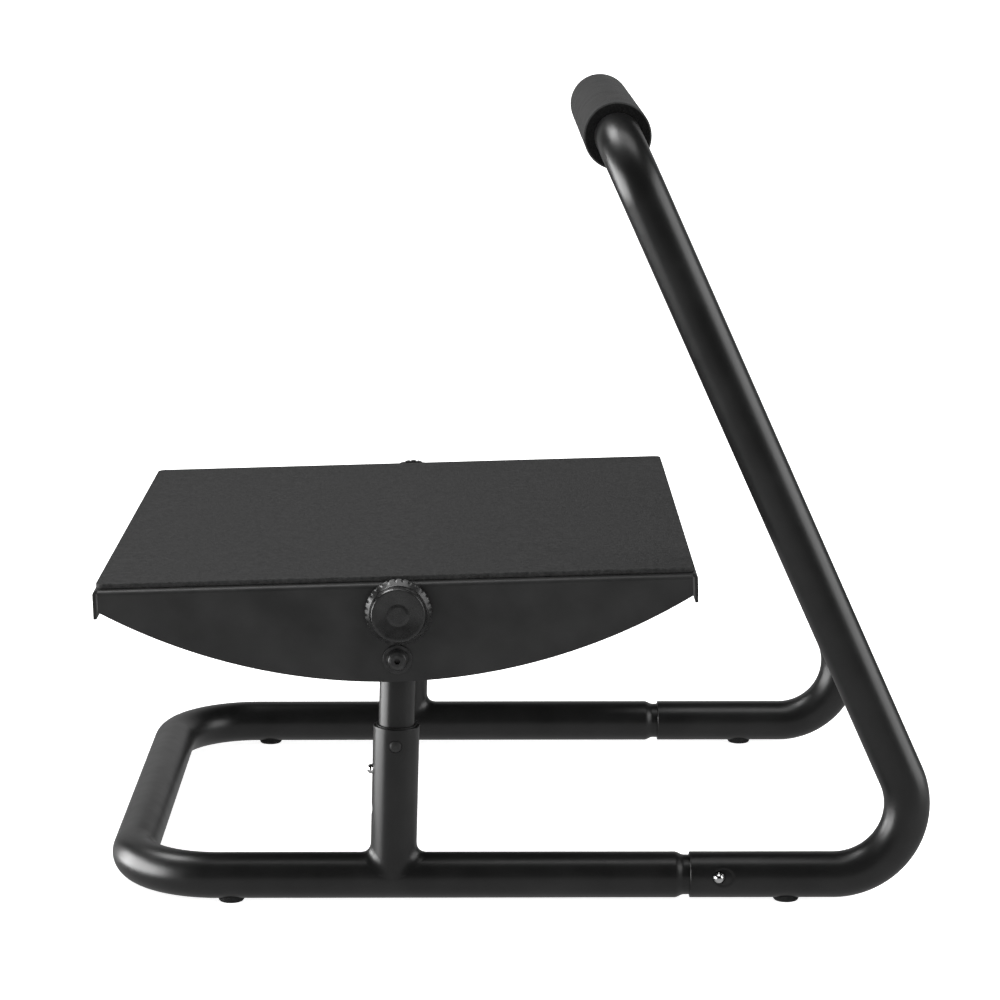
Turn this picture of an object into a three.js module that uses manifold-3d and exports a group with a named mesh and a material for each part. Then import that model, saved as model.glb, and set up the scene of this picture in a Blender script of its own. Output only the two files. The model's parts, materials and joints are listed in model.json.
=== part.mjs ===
// Tilting, height-adjustable foot board on a bent-tube frame with a padded cross handle.
// Millimetres. +X towards the handle, +Z up, origin under the middle of the overall box.
import * as THREE from "three";
import { mergeVertices } from "three/addons/utils/BufferGeometryUtils.js";
import Module from "manifold-3d";

const wasm = await Module();
wasm.setup();

// Frame tube
const TUBE_R = 14.3;
const TUBE_BORE = 12.7;
const SIDES = 20;
const SMALL = 16;
const BEND_STEPS = 6;
const SIDE_Y = 188.5;
const TUBE_Z = 16;
const FRONT_X = -242.1;
const FRONT_BEND = 57.5;

// Swaged neck of the base tube, inside the socket of the handle tube
const SWAGE_X = 99.6;
const NECK_R = 12.4;
const NECK_BORE = 11.1;
const NECK_END = 152;
const SOCKET_X = 109.1;

// Handle tube: foot bend, leaning uprights and cross bar
const HEEL_X = 268.6;
const HEEL_BEND = 45;
const BAR_X = 63;
const BAR_Z = 472;
const TOP_BEND = 38;
const GRIP_R = 20.8;
const GRIP_BORE = 14.8;
const GRIP_HALF = 152;

// Snap buttons
const BUTTON_R = 3.25;
const BUTTON_HOLE = 3.6;
const OUTER_HOLE = 4.4;
const FRAME_BUTTON_X = 126.7;
const FRAME_HOLE_X = 127.3;
const BUTTON_TIP = 17.5;
const SNAP_LIFT = 8;
const STRIP = 0.7;
const STRIP_WIDTH = 6;

// Rubber feet
const FOOT_R = 8;
const FOOT_FRONT_X = -176.4;
const FOOT_REAR_X = 169.6;

// Telescoping posts
const POST_X = -71.6;
const POST_LEAN = 1.6;
const POST_R = 11;
const POST_BORE = 9.5;
const POST_BOTTOM = 60;
const POST_TOP = 198;
const SLEEVE_TOP = 112.6;
const LINER_R = 12.4;
const LINER_BORE = 11.3;
const LINER_BOTTOM = 92.6;
const NUB_R = 3.6;
const NUB_Z = 102.1;
const POST_BUTTON_Z = 84;
const HEIGHT_STEP = 25.4;

// Platform: pivot, clamp and pan, in the pan's own frame with the pivot at its origin
const PIVOT_Z = 157.4;
const CLAMP_RISE = 30.5;
const REST_TILT = 1.6;
const TILT_LIMIT = 21.5;
const SHEET = 2;
const PAN_MID = 0;
const PAN_LENGTH = 369.6;
const PAN_HALF_WIDTH = 202.5;
const PAN_TOP = 47.6;
const PAN_BEND = 3.2;
const LIP_DEPTH = 18.3;
const LIP_HALF_WIDTH = 198.8;
const FLANGE_HALF = 181.4;
const ARC_R = 363;
const ARC_LOW = -14.1;
const MAT_LENGTH = 366.2;
const MAT_WIDTH = 392.5;
const MAT_THICK = 3;
const MAT_CORNER = 5;
const BOLT_R = 3.9;
const BOLT_HOLE = 4.25;
const CLEAR = 0.3;

const materials = {
  frame: { color: 0x1b1b1c, roughness: 0.42, metalness: 0.2 },
  platform: { color: 0x202021, roughness: 0.45, metalness: 0.2 },
  mat: { color: 0x161616, roughness: 0.9, metalness: 0 },
  foam: { color: 0x151515, roughness: 0.95, metalness: 0 },
  rubber: { color: 0x121212, roughness: 0.85, metalness: 0 },
  knob: { color: 0x1a1a1a, roughness: 0.4, metalness: 0 },
  plastic: { color: 0x17181a, roughness: 0.5, metalness: 0 },
  hardware: { color: 0x2a2a2c, roughness: 0.35, metalness: 0.8 },
  chrome: { color: 0xc9ccd0, roughness: 0.15, metalness: 1 },
};

const root = new THREE.Group();

function solidOf(geometry) {
  const bare = geometry.clone();
  bare.deleteAttribute("normal");
  bare.deleteAttribute("uv");
  const merged = mergeVertices(bare, 1e-3);
  const at = merged.attributes.position;
  const faces = [];
  let volume = 0;
  const a = new THREE.Vector3();
  const b = new THREE.Vector3();
  const c = new THREE.Vector3();
  for (let i = 0; i < merged.index.count; i += 3) {
    const [p, q, r] = [0, 1, 2].map((k) => merged.index.getX(i + k));
    if (p === q || q === r || r === p) continue;
    faces.push([p, q, r]);
    a.fromBufferAttribute(at, p);
    b.fromBufferAttribute(at, q);
    c.fromBufferAttribute(at, r);
    volume += a.dot(b.cross(c));
  }
  const turned = volume < 0 ? faces.map(([p, q, r]) => [p, r, q]) : faces;
  return new wasm.Manifold(
    new wasm.Mesh({
      numProp: 3,
      vertProperties: new Float32Array(at.array),
      triVerts: new Uint32Array(turned.flat()),
    }),
  );
}

function geometryOf(solid) {
  const mesh = solid.getMesh();
  const geometry = new THREE.BufferGeometry();
  const at = new Float32Array(mesh.vertProperties);
  geometry.setAttribute("position", new THREE.BufferAttribute(at, 3));
  geometry.setIndex(new THREE.BufferAttribute(new Uint32Array(mesh.triVerts), 1));
  const flat = geometry.toNonIndexed();
  flat.computeVertexNormals();
  return flat;
}

function add(name, slot, solid) {
  const mesh = new THREE.Mesh(geometryOf(solid), new THREE.MeshStandardMaterial(materials[slot]));
  mesh.name = name;
  root.add(mesh);
}

function union(...solids) {
  return solids.reduce((all, next) => all.add(next));
}

// Turns a shape built along +Y so that it runs along a direction from a point.
function placed(geometry, origin, direction) {
  const turn = new THREE.Quaternion().setFromUnitVectors(
    new THREE.Vector3(0, 1, 0),
    new THREE.Vector3(...direction).normalize(),
  );
  geometry.applyQuaternion(turn);
  geometry.translate(...origin);
  return solidOf(geometry);
}

function rod(radius, from, to, sides = SIDES) {
  const a = new THREE.Vector3(...from);
  const b = new THREE.Vector3(...to);
  const length = a.distanceTo(b);
  const geometry = new THREE.CylinderGeometry(radius, radius, length, sides);
  const middle = a.clone().add(b).multiplyScalar(0.5);
  return placed(geometry, middle.toArray(), b.clone().sub(a).toArray());
}

// A turned piece: profile points are [radius, distance along the axis].
function turned(profile, origin, direction, sides = SIDES) {
  const points = profile.map(([r, h]) => new THREE.Vector2(r, h));
  const closed = profile[0][0] === 0 ? points : [...points, points[0].clone()];
  return placed(new THREE.LatheGeometry(closed, sides), origin, direction);
}

// A path of straight runs and round bends, sampled only where it bends.
class BentPath extends THREE.Curve {
  constructor(corners, radii) {
    super();
    const at = corners.map((p) => new THREE.Vector3(...p));
    const first = at[1].clone().sub(at[0]).normalize();
    this.stations = [{ point: at[0], tangent: first }];
    for (let i = 1; i < at.length - 1; i++) {
      const before = at[i].clone().sub(at[i - 1]).normalize();
      const after = at[i + 1].clone().sub(at[i]).normalize();
      const turn = before.angleTo(after);
      const axis = before.clone().cross(after).normalize();
      const reach = radii[i - 1] * Math.tan(turn / 2);
      const start = at[i].clone().addScaledVector(before, -reach);
      const inward = axis.clone().cross(before);
      const centre = start.clone().addScaledVector(inward, radii[i - 1]);
      for (let k = 0; k <= BEND_STEPS; k++) {
        const angle = (turn * k) / BEND_STEPS;
        const spoke = start.clone().sub(centre).applyAxisAngle(axis, angle);
        const tangent = before.clone().applyAxisAngle(axis, angle);
        this.stations.push({ point: spoke.add(centre), tangent });
      }
    }
    const last = at[at.length - 1].clone().sub(at[at.length - 2]).normalize();
    this.stations.push({ point: at[at.length - 1], tangent: last });
  }
  station(t) {
    return this.stations[Math.round(t * (this.stations.length - 1))];
  }
  getPoint(t, target = new THREE.Vector3()) {
    return target.copy(this.station(t).point);
  }
  getPointAt(t, target = new THREE.Vector3()) {
    return this.getPoint(t, target);
  }
  getTangent(t, target = new THREE.Vector3()) {
    return target.copy(this.station(t).tangent);
  }
  getTangentAt(t, target = new THREE.Vector3()) {
    return this.getTangent(t, target);
  }
  getSpacedPoints(divisions) {
    return Array.from({ length: divisions + 1 }, (_, i) => this.getPoint(i / divisions));
  }
}

function bentTube(corners, radii, outer, bore) {
  const path = new BentPath(corners, radii);
  const ring = new THREE.Shape();
  ring.absarc(0, 0, outer, 0, 2 * Math.PI, false);
  const hole = new THREE.Path();
  hole.absarc(0, 0, bore, 0, 2 * Math.PI, true);
  ring.holes.push(hole);
  return solidOf(
    new THREE.ExtrudeGeometry(ring, {
      steps: path.stations.length - 1,
      extrudePath: path,
      curveSegments: SIDES / 2,
    }),
  );
}

function pipe(outer, bore, from, to) {
  const a = new THREE.Vector3(...from);
  const b = new THREE.Vector3(...to);
  const run = b.clone().sub(a);
  const profile = [
    [bore, 0],
    [outer, 0],
    [outer, run.length()],
    [bore, run.length()],
  ];
  return turned(profile, from, run.toArray());
}

// A profile in X and Z pushed along Y, from y0 to y1.
function sideExtrusion(shape, y0, y1) {
  const geometry = new THREE.ExtrudeGeometry(shape, {
    depth: y1 - y0,
    bevelEnabled: false,
    curveSegments: 10,
  });
  geometry.rotateX(Math.PI / 2);
  geometry.translate(0, y1, 0);
  return solidOf(geometry);
}

// The outline of a thin bent strip, given its centre line and thickness.
function stripShape(line, thickness) {
  const at = line.map(([x, y]) => new THREE.Vector2(x, y));
  const normals = at.map((p, i) => {
    const a = at[Math.max(i - 1, 0)];
    const b = at[Math.min(i + 1, at.length - 1)];
    const run = b.clone().sub(a).normalize();
    return new THREE.Vector2(-run.y, run.x).multiplyScalar(thickness / 2);
  });
  const one = at.map((p, i) => p.clone().add(normals[i]));
  const other = at.map((p, i) => p.clone().sub(normals[i])).reverse();
  return new THREE.Shape([...one, ...other]);
}

// Snap button outline from its inner face to its domed tip.
function buttonProfile(from, tip) {
  return [
    [0, from],
    [BUTTON_R, from],
    [BUTTON_R, tip - 1.6],
    [2.7, tip - 0.7],
    [1.5, tip - 0.15],
    [0, tip],
  ];
}

// Turns a piece about a side tube's axis, so that the frame's snap button sits a little high.
function lifted(solid, side) {
  return solid
    .translate([0, -side * SIDE_Y, -TUBE_Z])
    .rotate([side * SNAP_LIFT, 0, 0])
    .translate([0, side * SIDE_Y, TUBE_Z]);
}

// The posts lean a little towards the handle, about the platform's pivot.
function leaning(solid, angle = POST_LEAN) {
  return solid
    .translate([-POST_X, 0, -PIVOT_Z])
    .rotate([0, angle, 0])
    .translate([POST_X, 0, PIVOT_Z]);
}

function tubeAlongX(radius, side, x0, x1) {
  return rod(radius, [x0, side * SIDE_Y, TUBE_Z], [x1, side * SIDE_Y, TUBE_Z]);
}

function baseTube() {
  let solid = bentTube(
    [
      [SWAGE_X, -SIDE_Y, TUBE_Z],
      [FRONT_X, -SIDE_Y, TUBE_Z],
      [FRONT_X, SIDE_Y, TUBE_Z],
      [SWAGE_X, SIDE_Y, TUBE_Z],
    ],
    [FRONT_BEND, FRONT_BEND],
    TUBE_R,
    TUBE_BORE,
  );
  for (const side of [-1, 1]) {
    const neck = [
      [TUBE_BORE + 0.2, -2],
      [TUBE_R - 0.1, -2],
      [TUBE_R - 0.1, 0.4],
      [NECK_R, 3],
      [NECK_R, NECK_END - SWAGE_X],
      [NECK_BORE, NECK_END - SWAGE_X],
      [NECK_BORE, 2.6],
    ];
    solid = solid.add(turned(neck, [SWAGE_X, side * SIDE_Y, TUBE_Z], [1, 0, 0]));
    const inside = [FRAME_BUTTON_X, side * SIDE_Y, TUBE_Z];
    const outside = [FRAME_BUTTON_X, side * (SIDE_Y + 20), TUBE_Z];
    solid = solid.subtract(lifted(rod(BUTTON_HOLE, inside, outside, 12), side));
    solid = solid.subtract(footHole(FOOT_FRONT_X, side));
  }
  return solid;
}

function footHole(x, side) {
  return rod(3.1, [x, side * SIDE_Y, -1], [x, side * SIDE_Y, TUBE_Z], 12);
}

function handleTube() {
  let solid = bentTube(
    [
      [SOCKET_X, -SIDE_Y, TUBE_Z],
      [HEEL_X, -SIDE_Y, TUBE_Z],
      [BAR_X, -SIDE_Y, BAR_Z],
      [BAR_X, SIDE_Y, BAR_Z],
      [HEEL_X, SIDE_Y, TUBE_Z],
      [SOCKET_X, SIDE_Y, TUBE_Z],
    ],
    [HEEL_BEND, TOP_BEND, TOP_BEND, HEEL_BEND],
    TUBE_R,
    TUBE_BORE,
  );
  for (const side of [-1, 1]) {
    const inside = [FRAME_HOLE_X, side * SIDE_Y, TUBE_Z];
    const outside = [FRAME_HOLE_X, side * (SIDE_Y + 20), TUBE_Z];
    solid = solid.subtract(lifted(rod(OUTER_HOLE, inside, outside, 12), side));
    solid = solid.subtract(footHole(FOOT_REAR_X, side));
  }
  return solid;
}

function gripFoam() {
  const profile = [
    [GRIP_BORE, -GRIP_HALF],
    [GRIP_R - 1, -GRIP_HALF],
    [GRIP_R, -GRIP_HALF + 1],
    [GRIP_R, GRIP_HALF - 1],
    [GRIP_R - 1, GRIP_HALF],
    [GRIP_BORE, GRIP_HALF],
  ];
  return turned(profile, [BAR_X, 0, BAR_Z], [0, 1, 0]);
}

function foot(x, side) {
  const y = side * SIDE_Y;
  const pad = [
    [0, 0],
    [FOOT_R - 0.8, 0],
    [FOOT_R, 0.8],
    [FOOT_R, 4.2],
    [0, 4.2],
  ];
  const stem = [
    [0, 1],
    [2.7, 1],
    [2.7, 4],
    [3.8, 4.6],
    [2.2, 8],
    [0, 8],
  ];
  return turned(pad, [x, y, 0], [0, 0, 1], SMALL)
    .subtract(tubeAlongX(TUBE_R + CLEAR, side, x - 20, x + 20))
    .add(turned(stem, [x, y, 0], [0, 0, 1], 12));
}

// V-shaped spring strip inside the neck; its outer leg carries the snap button.
function frameClip(side) {
  const line = [
    [134, 9.6],
    [120, 9.4],
    [97, 3.2],
    [93.6, 1.4],
    [92.6, 0],
    [93.6, -1.4],
    [97, -3.2],
    [120, -9.4],
    [134, -9.6],
  ];
  const geometry = new THREE.ExtrudeGeometry(stripShape(line, STRIP), {
    depth: STRIP_WIDTH,
    bevelEnabled: false,
  });
  geometry.translate(0, side * SIDE_Y, TUBE_Z - STRIP_WIDTH / 2);
  return lifted(solidOf(geometry), side);
}

function frameButton(side) {
  const profile = buttonProfile(10.3, BUTTON_TIP);
  const button = turned(profile, [FRAME_BUTTON_X, side * SIDE_Y, TUBE_Z], [0, side, 0], 12);
  return lifted(button, side);
}

// Outer post, coped and welded onto the side tube, with two height holes. Drawn upright, as are
// the other pieces of the post, and leant over when added.
function sleeve(side) {
  const y = side * SIDE_Y;
  const baseTubeOf = (radius) =>
    leaning(tubeAlongX(radius, side, POST_X - 36, POST_X + 30), -POST_LEAN);
  const wall = rod(TUBE_R, [POST_X, y, TUBE_Z], [POST_X, y, SLEEVE_TOP]);
  const bead = rod(TUBE_R + 2, [POST_X, y, TUBE_Z + 2], [POST_X, y, TUBE_Z + 22]).intersect(
    baseTubeOf(TUBE_R + 2.3),
  );
  let solid = union(wall, bead)
    .subtract(baseTubeOf(TUBE_R + CLEAR))
    .subtract(rod(TUBE_BORE, [POST_X, y, 0], [POST_X, y, SLEEVE_TOP + 5]));
  for (const z of [POST_BUTTON_Z, POST_BUTTON_Z - HEIGHT_STEP]) {
    solid = solid.subtract(rod(OUTER_HOLE, [POST_X, y, z], [POST_X - 20, y, z], 12));
  }
  const nubHole = rod(NUB_R + CLEAR, [POST_X, y, NUB_Z], [POST_X, y + side * 20, NUB_Z], 12);
  return solid.subtract(nubHole);
}

// Plastic bushing in the sleeve's mouth, held by a round nub through the wall.
function liner(side) {
  const y = side * SIDE_Y;
  const nub = [
    [0, LINER_BORE + 0.3],
    [NUB_R, LINER_BORE + 0.3],
    [NUB_R, TUBE_R + 0.3],
    [NUB_R - 0.6, TUBE_R + 0.8],
    [0, TUBE_R + 0.9],
  ];
  return union(
    rod(LINER_R, [POST_X, y, LINER_BOTTOM], [POST_X, y, SLEEVE_TOP + 0.6]),
    turned(nub, [POST_X, y, NUB_Z], [0, side, 0], 12),
  ).subtract(rod(LINER_BORE, [POST_X, y, LINER_BOTTOM - 5], [POST_X, y, SLEEVE_TOP + 5]));
}

function post(side) {
  const y = side * SIDE_Y;
  let solid = pipe(POST_R, POST_BORE, [POST_X, y, POST_BOTTOM], [POST_X, y, POST_TOP]);
  const button = rod(BUTTON_HOLE, [POST_X, y, POST_BUTTON_Z], [POST_X - 20, y, POST_BUTTON_Z], 12);
  const bolt = rod(BOLT_HOLE, [POST_X, y - 20, PIVOT_Z], [POST_X, y + 20, PIVOT_Z], 12);
  const z = PIVOT_Z + CLAMP_RISE;
  const insert = rod(5.7, [POST_X, y, z], [POST_X, y + side * 20, z], 12);
  solid = solid.subtract(button).subtract(bolt).subtract(insert);
  return solid;
}

function postCap(side) {
  const profile = [
    [0, -2],
    [POST_BORE - CLEAR, -2],
    [POST_BORE - CLEAR, CLEAR],
    [POST_R - 0.2, CLEAR],
    [POST_R - 0.2, 1],
    [POST_R - 1.2, 1.8],
    [0, 1.8],
  ];
  return turned(profile, [POST_X, side * SIDE_Y, POST_TOP], [0, 0, 1], SMALL);
}

// Spring strip with its snap button, inside the inner post.
function postSnap(side) {
  const line = [
    [-8.1, 76],
    [-7.8, 91],
    [-3, 112],
    [-1.4, 115.2],
    [0, 116.2],
    [1.4, 115.2],
    [3, 112],
    [7.8, 91],
    [8.1, 76],
  ];
  const strip = sideExtrusion(stripShape(line, STRIP), -STRIP_WIDTH / 2, STRIP_WIDTH / 2);
  const profile = buttonProfile(7.7, BUTTON_TIP + 0.3);
  const button = turned(profile, [0, 0, POST_BUTTON_Z], [-1, 0, 0], 12);
  return union(strip, button).translate([POST_X, side * SIDE_Y, 0]);
}

function pivotBolt(side) {
  const head = [
    [0, 203.9],
    [6.75, 203.9],
    [6.75, 205.1],
    [6, 207],
    [4.2, 208.4],
    [2.6, 208.6],
    [2.4, 206],
    [0, 206],
  ];
  const reach = head.map(([r, h]) => [r, h + 0.2]);
  return union(
    turned(reach, [POST_X, 0, PIVOT_Z], [0, side, 0], SMALL),
    rod(BOLT_R, [POST_X, side * 168.5, PIVOT_Z], [POST_X, side * 204.8, PIVOT_Z], SMALL),
  );
}

function ringAlongY(side, z, outer, bore, y0, y1, sides = SMALL) {
  const from = [POST_X, side * y0, z];
  const to = [POST_X, side * y1, z];
  return rod(outer, from, to, sides).subtract(
    rod(bore, [POST_X, side * (y0 - 1), z], [POST_X, side * (y1 + 1), z], SMALL),
  );
}

// Contoured spacer between the round post and the flat flange.
function saddle(side, z) {
  const post = rod(POST_R + CLEAR, [POST_X, side * SIDE_Y, z - 20], [POST_X, side * SIDE_Y, z + 20]);
  return ringAlongY(side, z, 8.5, BOLT_HOLE, 195, PAN_HALF_WIDTH - SHEET - CLEAR).subtract(post);
}

function clampInsert(side) {
  const profile = [
    [4.3, 186],
    [5.4, 186],
    [5.4, 191],
    [7, 191.6],
    [7, 193.6],
    [5.4, 194.2],
    [5.4, 198],
    [4.3, 198],
  ];
  return turned(profile, [POST_X, 0, PIVOT_Z + CLAMP_RISE], [0, side, 0], 12);
}

// Clamp knob with its threaded stud: fluted skirt, sloping shoulder, dished face, centre boss.
function knob(side) {
  const z = PIVOT_Z + CLAMP_RISE;
  const flutes = 28;
  const outline = [];
  for (let i = 0; i < flutes; i++) {
    for (const [share, radius] of [[0, 19.9], [0.22, 20.5], [0.78, 20.5]]) {
      const angle = ((i + share) / flutes) * 2 * Math.PI;
      outline.push(new THREE.Vector2(radius * Math.cos(angle), radius * Math.sin(angle)));
    }
  }
  const skirt = new THREE.ExtrudeGeometry(new THREE.Shape(outline), {
    depth: 5.4,
    bevelEnabled: false,
  });
  skirt.rotateX(Math.PI / 2);
  skirt.translate(0, 5.4 + 204.6, 0);
  if (side < 0) skirt.rotateZ(Math.PI);
  skirt.translate(POST_X, 0, z);
  const face = [
    [0, 205],
    [19.2, 205],
    [19.2, 210.4],
    [17.4, 214.6],
    [16.9, 216.6],
    [15.4, 217.6],
    [13.8, 217.3],
    [12.6, 215.6],
    [5.9, 215],
    [5, 216.4],
    [0, 216.8],
  ];
  return union(
    solidOf(skirt),
    turned(face, [POST_X, 0, z], [0, side, 0]),
    rod(BOLT_R, [POST_X, side * 187.5, z], [POST_X, side * 205.5, z], SMALL),
  );
}

function clampSlot() {
  const half = THREE.MathUtils.degToRad(TILT_LIMIT + 0.6);
  const r = BOLT_HOLE;
  const up = Math.PI / 2;
  const shape = new THREE.Shape();
  shape.absarc(0, 0, CLAMP_RISE + r, up - half, up + half, false);
  const leftX = CLAMP_RISE * Math.cos(up + half);
  const leftZ = CLAMP_RISE * Math.sin(up + half);
  shape.absarc(leftX, leftZ, r, up + half, up + half + Math.PI, false);
  shape.absarc(0, 0, CLAMP_RISE - r, up + half, up - half, true);
  const rightX = CLAMP_RISE * Math.cos(up - half);
  const rightZ = CLAMP_RISE * Math.sin(up - half);
  shape.absarc(rightX, rightZ, r, up - half - Math.PI, up - half, false);
  return sideExtrusion(shape, -210, 210);
}

// Top and flanges folded from one sheet: an upside-down channel, trimmed by the flange's outline.
function panChannel() {
  const w = PAN_HALF_WIDTH;
  const top = PAN_TOP;
  const low = ARC_LOW - 2;
  const bend = PAN_BEND;
  const inner = bend - SHEET;
  const shape = new THREE.Shape();
  shape.moveTo(-w, low);
  shape.lineTo(-w, top - bend);
  shape.absarc(-w + bend, top - bend, bend, Math.PI, Math.PI / 2, true);
  shape.lineTo(w - bend, top);
  shape.absarc(w - bend, top - bend, bend, Math.PI / 2, 0, true);
  shape.lineTo(w, low);
  shape.lineTo(w - SHEET, low);
  shape.lineTo(w - SHEET, top - bend);
  shape.absarc(w - bend, top - bend, inner, 0, Math.PI / 2, false);
  shape.lineTo(-w + bend, top - SHEET);
  shape.absarc(-w + bend, top - bend, inner, Math.PI / 2, Math.PI, false);
  shape.lineTo(-w + SHEET, low);
  const geometry = new THREE.ExtrudeGeometry(shape, {
    depth: 2 * FLANGE_HALF,
    bevelEnabled: false,
    curveSegments: 5,
  });
  geometry.rotateX(Math.PI / 2);
  geometry.rotateZ(Math.PI / 2);
  geometry.translate(-FLANGE_HALF, 0, 0);
  return solidOf(geometry);
}

function flangeOutline() {
  const reach = Math.asin((FLANGE_HALF + 1) / ARC_R);
  const centre = ARC_LOW + ARC_R;
  const shape = new THREE.Shape();
  shape.moveTo(-FLANGE_HALF - 1, PAN_TOP + 1);
  const steps = 30;
  for (let i = 0; i <= steps; i++) {
    const angle = -reach + (2 * reach * i) / steps;
    shape.lineTo(ARC_R * Math.sin(angle), centre - ARC_R * Math.cos(angle));
  }
  shape.lineTo(FLANGE_HALF + 1, PAN_TOP + 1);
  return shape;
}

// End lip with its bend, at one end of the pan.
function lip(end) {
  const face = PAN_LENGTH / 2;
  const bend = PAN_BEND;
  const shape = new THREE.Shape();
  shape.moveTo(face - 8, PAN_TOP);
  shape.lineTo(face - bend, PAN_TOP);
  shape.absarc(face - bend, PAN_TOP - bend, bend, Math.PI / 2, 0, true);
  shape.lineTo(face, PAN_TOP - LIP_DEPTH);
  shape.lineTo(face - SHEET, PAN_TOP - LIP_DEPTH);
  shape.lineTo(face - SHEET, PAN_TOP - bend);
  shape.absarc(face - bend, PAN_TOP - bend, bend - SHEET, 0, Math.PI / 2, false);
  shape.lineTo(face - 8, PAN_TOP - SHEET);
  const solid = sideExtrusion(shape, -LIP_HALF_WIDTH, LIP_HALF_WIDTH);
  return end > 0 ? solid : solid.mirror([1, 0, 0]);
}

function pan() {
  const body = panChannel().intersect(sideExtrusion(flangeOutline(), -210, 210));
  const pivotHole = rod(BOLT_HOLE, [0, -210, 0], [0, 210, 0]);
  return union(body, lip(-1), lip(1))
    .translate([PAN_MID, 0, 0])
    .subtract(pivotHole)
    .subtract(clampSlot().rotate([0, POST_LEAN, 0]));
}

function mat() {
  const a = MAT_LENGTH / 2;
  const b = MAT_WIDTH / 2;
  const r = MAT_CORNER;
  const shape = new THREE.Shape();
  shape.absarc(a - r, -b + r, r, -Math.PI / 2, 0, false);
  shape.absarc(a - r, b - r, r, 0, Math.PI / 2, false);
  shape.absarc(-a + r, b - r, r, Math.PI / 2, Math.PI, false);
  shape.absarc(-a + r, -b + r, r, Math.PI, 1.5 * Math.PI, false);
  const geometry = new THREE.ExtrudeGeometry(shape, {
    depth: MAT_THICK,
    bevelEnabled: false,
    curveSegments: 4,
  });
  geometry.translate(PAN_MID, 0, PAN_TOP + CLEAR);
  return solidOf(geometry);
}

// From the pan's own frame to the object's: the handle side sits slightly high at rest.
function tilted(solid) {
  return solid.rotate([0, -REST_TILT, 0]).translate([POST_X, 0, PIVOT_Z]);
}

add("base_tube", "frame", baseTube());
add("handle_tube", "frame", handleTube());
add("grip_foam", "foam", gripFoam());
add("pan", "platform", tilted(pan()));
add("mat", "mat", tilted(mat()));
for (const [side, hand] of [[-1, "right"], [1, "left"]]) {
  const clampZ = PIVOT_Z + CLAMP_RISE;
  add("foot_front_" + hand, "rubber", foot(FOOT_FRONT_X, side));
  add("foot_rear_" + hand, "rubber", foot(FOOT_REAR_X, side));
  add("frame_clip_" + hand, "chrome", frameClip(side));
  add("frame_button_" + hand, "chrome", frameButton(side));
  add("sleeve_" + hand, "frame", leaning(sleeve(side)));
  add("liner_" + hand, "plastic", leaning(liner(side)));
  add("post_" + hand, "frame", leaning(post(side)));
  add("post_cap_" + hand, "plastic", leaning(postCap(side)));
  add("post_snap_" + hand, "chrome", leaning(postSnap(side)));
  add("pivot_bolt_" + hand, "hardware", leaning(pivotBolt(side)));
  add("pivot_washer_" + hand, "hardware", leaning(ringAlongY(side, PIVOT_Z, 9, BOLT_HOLE, 202.8, 203.8)));
  add("pivot_nut_" + hand, "hardware", leaning(ringAlongY(side, PIVOT_Z, 7.4, BOLT_HOLE, 170.7, 177.2, 6)));
  add("pivot_saddle_" + hand, "plastic", leaning(saddle(side, PIVOT_Z)));
  add("clamp_saddle_" + hand, "plastic", leaning(saddle(side, clampZ)));
  add("clamp_insert_" + hand, "hardware", leaning(clampInsert(side)));
  add("clamp_washer_" + hand, "hardware", leaning(ringAlongY(side, clampZ, 12, BOLT_HOLE, 202.8, 204.3)));
  add("knob_" + hand, "knob", leaning(knob(side)));
}

export default root;
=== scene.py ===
"""Height-adjustable tilting foot board: bent-tube frame, padded cross handle, rubber-topped pan."""

import json
import math

import bmesh
import bpy
from mathutils import Matrix, Vector


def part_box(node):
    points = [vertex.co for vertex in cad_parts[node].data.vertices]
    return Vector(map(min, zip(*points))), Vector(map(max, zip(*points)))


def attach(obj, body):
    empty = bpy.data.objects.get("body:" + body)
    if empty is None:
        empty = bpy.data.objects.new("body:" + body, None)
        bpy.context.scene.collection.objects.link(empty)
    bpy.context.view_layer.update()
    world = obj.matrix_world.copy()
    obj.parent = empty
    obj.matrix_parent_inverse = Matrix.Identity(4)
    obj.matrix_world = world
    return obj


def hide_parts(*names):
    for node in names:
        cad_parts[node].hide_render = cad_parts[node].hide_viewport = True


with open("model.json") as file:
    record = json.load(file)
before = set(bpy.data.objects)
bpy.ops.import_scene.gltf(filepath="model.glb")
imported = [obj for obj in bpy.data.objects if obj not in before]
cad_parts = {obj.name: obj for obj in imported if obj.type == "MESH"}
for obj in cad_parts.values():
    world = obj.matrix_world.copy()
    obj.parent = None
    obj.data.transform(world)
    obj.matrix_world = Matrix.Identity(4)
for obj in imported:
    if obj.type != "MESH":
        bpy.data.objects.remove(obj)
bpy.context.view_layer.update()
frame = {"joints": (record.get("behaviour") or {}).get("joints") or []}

MM = 0.001
HANDS = (("right", -1), ("left", 1))
UP = (0, 0, 1)

# Sizes in millimetres, as in the CAD
TUBE_R, WALL = 14.3, 1.6
FRONT_X, FRONT_BEND = -242.1, 57.5
NECK_R, NECK_END, SWAGE_START, SWAGE_END = 12.4, 152.0, 99.8, 105.6
SOCKET_X, HEEL_X, HEEL_BEND = 109.1, 268.6, 45.0
BAR_X, BAR_Z, TOP_BEND = 63.0, 472.0, 38.0
GRIP_R, GRIP_BORE, GRIP_HALF = 20.8, 14.2, 152.0
BUTTON_R, BUTTON_X, DIMPLE_X, SNAP_LIFT = 3.25, 126.7, 129.7, math.radians(8)
BUTTON_TIP, BUTTON_COLLAR, BUTTON_HOLE, INNER_HOLE, HOLE_X = 17.5, 15.3, 3.9, 3.6, 127.0
DIMPLE_HALF_X, DIMPLE_HALF_Z, DIMPLE_DEPTH = 6.95, 6.35, 0.85
STRIP, STRIP_HALF_WIDTH = 0.7, 3
STEM_HOLE = 3.1
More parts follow.
